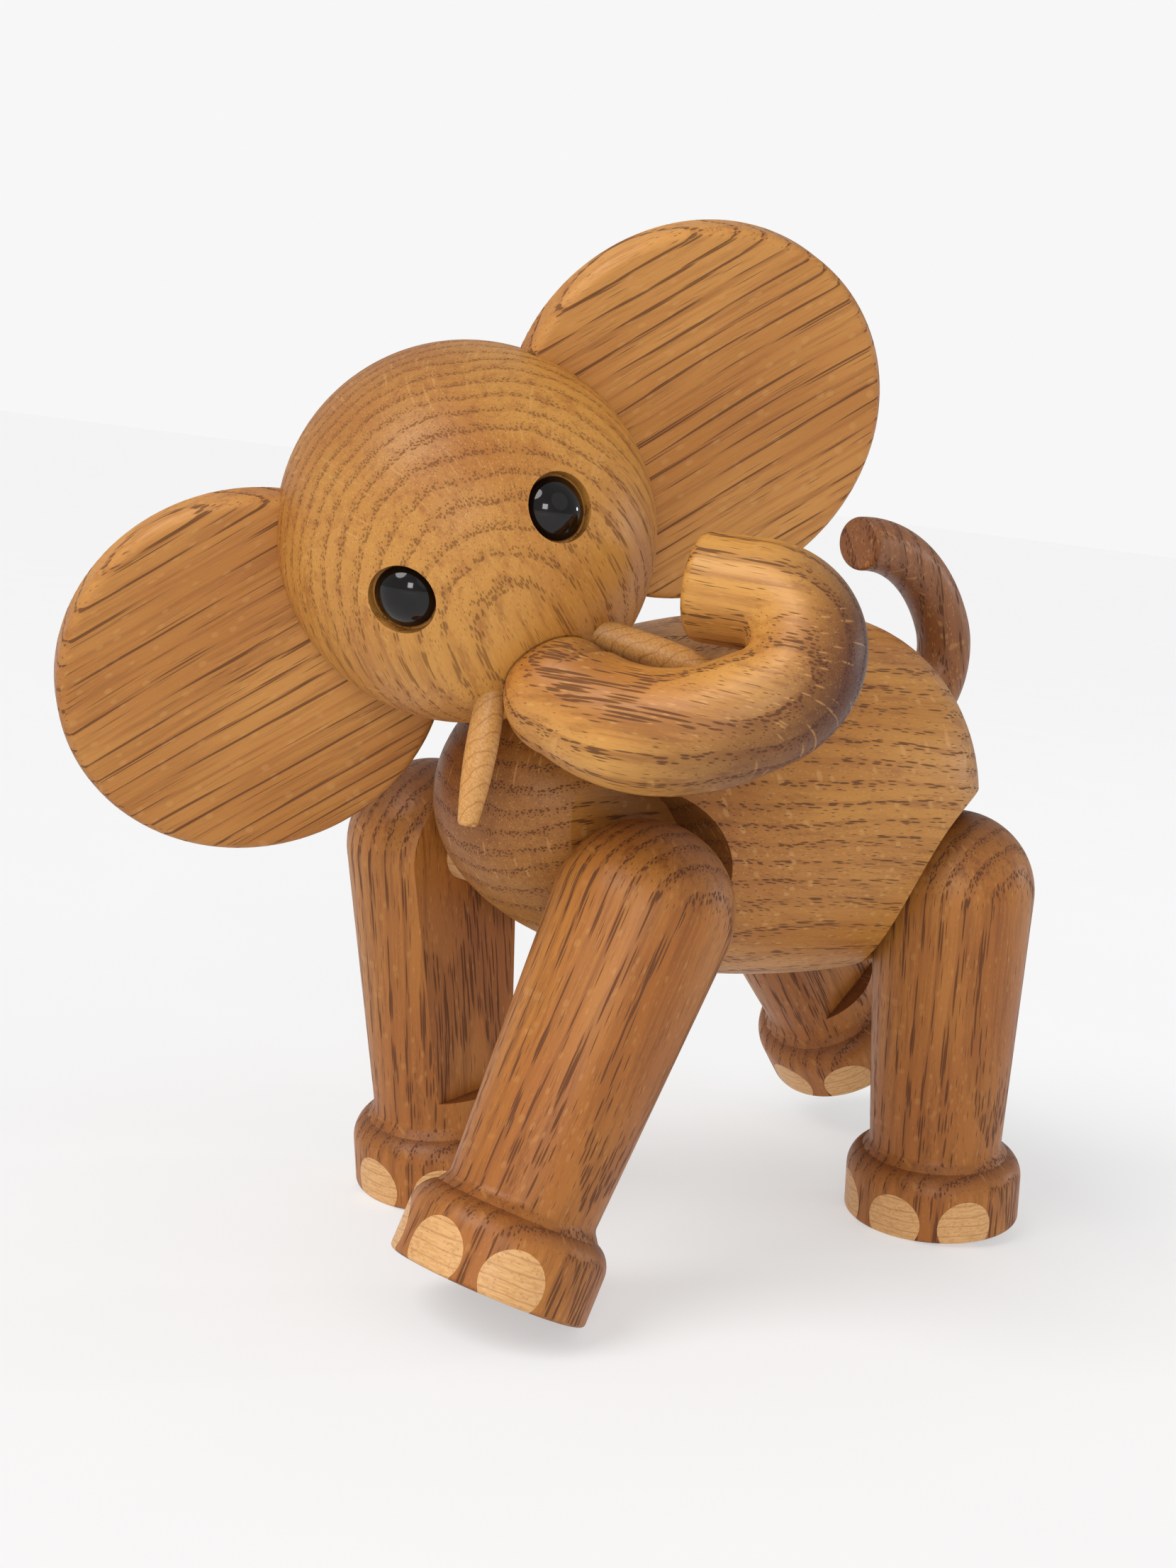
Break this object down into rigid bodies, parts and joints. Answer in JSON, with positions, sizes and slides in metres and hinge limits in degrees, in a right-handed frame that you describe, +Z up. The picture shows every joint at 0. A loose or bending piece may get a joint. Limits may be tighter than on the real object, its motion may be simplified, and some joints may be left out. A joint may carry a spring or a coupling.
{
  "type": "wooden elephant figurine",
  "caption": "Turned oak elephant figurine with disc ears; its head, curled trunk, tail and legs turn on wooden pegs.",
  "frame": {"origin": "on the floor, straight below the middle of the whole figure's box as it stands", "axes": "the elephant faces -Y, its left side is +X, +Z is up; the body leans 0.6 degrees as it stands"},
  "size_m": [0.0988, 0.1908, 0.1574],
  "materials": {
    "oak_body": "oiled satin",
    "oak_head": "oiled satin",
    "oak_ear": "oiled satin",
    "oak_trunk": "oiled satin",
    "oak_leg": "oiled satin",
    "oak_tail": "oiled satin",
    "maple_tusk": "oiled satin",
    "maple_nail": "oiled satin",
    "beech_peg": "plain turned dowel",
    "eye_black": "high gloss"
  },
  "bodies": {
    "body": {"body": "oak_body"},
    "head": {"head": "oak_head", "neck_peg": "beech_peg", "ear_left": "oak_ear", "ear_right": "oak_ear", "eye_left": "eye_black", "eye_right": "eye_black", "tusk_left": "maple_tusk", "tusk_right": "maple_tusk"},
    "trunk": {"trunk": "oak_trunk", "trunk_peg": "beech_peg"},
    "tail": {"tail": "oak_tail", "tail_peg": "beech_peg"},
    "leg_front_left": {"leg_front_left": "oak_leg", "axle_front_left": "beech_peg", "nail_front_left_inner": "maple_nail", "nail_front_left_middle": "maple_nail", "nail_front_left_outer": "maple_nail"},
    "leg_front_right": {"leg_front_right": "oak_leg", "axle_front_right": "beech_peg", "nail_front_right_inner": "maple_nail", "nail_front_right_middle": "maple_nail", "nail_front_right_outer": "maple_nail"},
    "leg_rear_left": {"leg_rear_left": "oak_leg", "axle_rear_left": "beech_peg", "nail_rear_left_inner": "maple_nail", "nail_rear_left_middle": "maple_nail", "nail_rear_left_outer": "maple_nail"},
    "leg_rear_right": {"leg_rear_right": "oak_leg", "axle_rear_right": "beech_peg", "nail_rear_right_inner": "maple_nail", "nail_rear_right_middle": "maple_nail", "nail_rear_right_outer": "maple_nail"}
  },
  "joints": [
    {"name": "head_turn", "type": "hinge", "parent": "body", "child": "head", "pos_m": [-0.00963, -0.0505, 0.10979], "axis": [0.0075, -0.7029, 0.7112], "range_deg": [-120, 15]},
    {"name": "trunk_turn", "type": "hinge", "parent": "head", "child": "trunk", "pos_m": [0.01074, -0.05116, 0.09336], "axis": [0.7783, -0.0252, -0.6274], "range_deg": [0, 180]},
    {"name": "tail_turn", "type": "hinge", "parent": "body", "child": "tail", "pos_m": [-0.00991, 0.05408, 0.08336], "axis": [0.0029, 0.9605, 0.2784], "range_deg": [-75, 75]},
    {"name": "front_left_swing", "type": "hinge", "parent": "body", "child": "leg_front_left", "pos_m": [0.01353, -0.02894, 0.05883], "axis": [-0.9999, 0, 0.0106], "range_deg": [-42, 23]},
    {"name": "front_right_swing", "type": "hinge", "parent": "body", "child": "leg_front_right", "pos_m": [-0.03387, -0.02894, 0.05933], "axis": [-0.9999, 0, 0.0106], "range_deg": [-8, 57]},
    {"name": "rear_left_swing", "type": "hinge", "parent": "body", "child": "leg_rear_left", "pos_m": [0.01353, 0.04596, 0.05904], "axis": [-0.9999, 0, 0.0106], "range_deg": [-52, 11]},
    {"name": "rear_right_swing", "type": "hinge", "parent": "body", "child": "leg_rear_right", "pos_m": [-0.03387, 0.04596, 0.05954], "axis": [-0.9999, 0, 0.0106], "range_deg": [-18, 45]}
  ]
}
